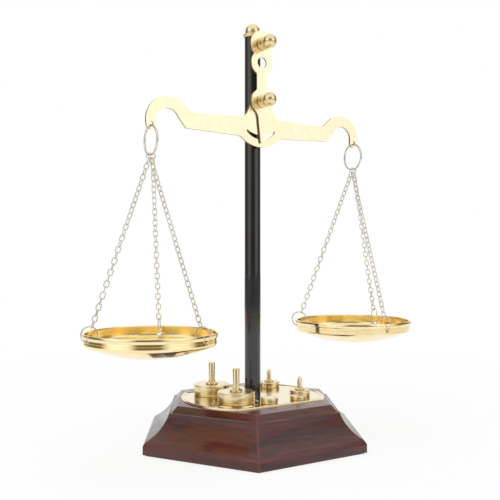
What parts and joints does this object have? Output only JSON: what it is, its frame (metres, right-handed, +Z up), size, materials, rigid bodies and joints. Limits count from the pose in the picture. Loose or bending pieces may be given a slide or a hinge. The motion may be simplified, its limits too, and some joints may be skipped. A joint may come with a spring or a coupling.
{
  "type": "balance scale",
  "caption": "Two-pan balance scale: pointer strap and rocking beam on a black post, pans on link chains, weights on a brass plate over a six-sided moulded wood base.",
  "frame": {"origin": "centre of the flat face that the base stands on, on the post's axis", "axes": "+Z up along the post, X along the beam with the balance seen from the front, -Y to the front where the knobs and the pointer are"},
  "size_m": [0.2614, 0.15, 0.3],
  "materials": {
    "wood": "dark red-brown stain under gloss varnish",
    "felt": "matte felt",
    "plate": "polished",
    "post": "gloss black",
    "steel": "plated",
    "knobs": "polished, turned",
    "bolts": "turned",
    "beam": "polished sheet",
    "wire": "bright drawn wire",
    "chain": "bright drawn wire",
    "pans": "polished, spun",
    "weights": "satin, turned"
  },
  "bodies": {
    "stand": {"base_block": "wood", "felt_pad": "felt", "weight_plate": "plate", "post": "post", "post_washer": "steel", "post_nut": "steel", "finial": "knobs", "hanger_bolt": "bolts", "hanger_spacer": "bolts", "hanger_knob": "knobs"},
    "hanger": {"hanger_strap": "beam", "pivot_bolt": "bolts", "pivot_rear_nut": "bolts", "pivot_washer": "bolts", "pivot_knob": "knobs"},
    "beam": {"beam": "beam"},
    "left_ring": {"left_ring": "wire"},
    "right_ring": {"right_ring": "wire"},
    "left_link": {"left_link": "wire"},
    "right_link": {"right_link": "wire"},
    "left_pan": {"left_pan": "pans", "left_jump_rings": "wire", "left_chain_outer": "chain", "left_chain_back": "chain", "left_chain_front": "chain"},
    "right_pan": {"right_pan": "pans", "right_jump_rings": "wire", "right_chain_outer": "chain", "right_chain_back": "chain", "right_chain_front": "chain"},
    "large_weight_back": {"weight_large_back": "weights", "weight_large_back_stem": "weights"},
    "large_weight_front": {"weight_large_front": "weights", "weight_large_front_stem": "weights"},
    "medium_weight_back": {"weight_medium_back": "weights", "weight_medium_back_stem": "weights"},
    "medium_weight_right": {"weight_medium_right": "weights", "weight_medium_right_stem": "weights"},
    "small_weight_front": {"weight_small_front": "weights"},
    "small_weight_right": {"weight_small_right": "weights"}
  },
  "joints": [
    {"name": "hanger_swing", "type": "hinge", "parent": "stand", "child": "hanger", "pos_m": [0, -0.0119, 0.2828], "axis": [0, 1, 0], "range_deg": [-2, 2]},
    {"name": "beam_rock", "type": "hinge", "parent": "hanger", "child": "beam", "pos_m": [0, -0.0101, 0.2422], "axis": [0, 1, 0], "range_deg": [-8, 8]},
    {"name": "left_ring_turn", "type": "hinge", "parent": "beam", "child": "left_ring", "pos_m": [-0.0852, -0.0101, 0.219], "axis": [0, 1, 0], "range_deg": [-8, 8]},
    {"name": "left_link_swing", "type": "hinge", "parent": "left_ring", "child": "left_link", "pos_m": [-0.0852, -0.0101, 0.1987], "axis": [0, 1, 0], "range_deg": [-2, 2]},
    {"name": "left_pan_sway", "type": "hinge", "parent": "left_link", "child": "left_pan", "pos_m": [-0.0852, -0.0101, 0.1962], "axis": [1, 0, 0], "range_deg": [-6, 6]},
    {"name": "right_ring_turn", "type": "hinge", "parent": "beam", "child": "right_ring", "pos_m": [0.0852, -0.0101, 0.219], "axis": [0, 1, 0], "range_deg": [-8, 8]},
    {"name": "right_link_swing", "type": "hinge", "parent": "right_ring", "child": "right_link", "pos_m": [0.0852, -0.0101, 0.1987], "axis": [0, 1, 0], "range_deg": [-2, 2]},
    {"name": "right_pan_sway", "type": "hinge", "parent": "right_link", "child": "right_pan", "pos_m": [0.0852, -0.0101, 0.1962], "axis": [1, 0, 0], "range_deg": [-6, 6]},
    {"name": "large_weight_back_lift", "type": "slide", "parent": "stand", "child": "large_weight_back", "axis": [0, 0, 1], "range_m": [0, 0.008]},
    {"name": "large_weight_front_lift", "type": "slide", "parent": "stand", "child": "large_weight_front", "axis": [0, 0, 1], "range_m": [0, 0.008]},
    {"name": "medium_weight_back_lift", "type": "slide", "parent": "stand", "child": "medium_weight_back", "axis": [0, 0, 1], "range_m": [0, 0.008]},
    {"name": "medium_weight_right_lift", "type": "slide", "parent": "stand", "child": "medium_weight_right", "axis": [0, 0, 1], "range_m": [0, 0.008]},
    {"name": "small_weight_front_lift", "type": "slide", "parent": "stand", "child": "small_weight_front", "axis": [0, 0, 1], "range_m": [0, 0.008]},
    {"name": "small_weight_right_lift", "type": "slide", "parent": "stand", "child": "small_weight_right", "axis": [0, 0, 1], "range_m": [0, 0.008]}
  ],
  "couplings": [
    {"joint": "left_ring_turn", "follows": "beam_rock", "ratio": -1},
    {"joint": "right_ring_turn", "follows": "beam_rock", "ratio": -1}
  ]
}
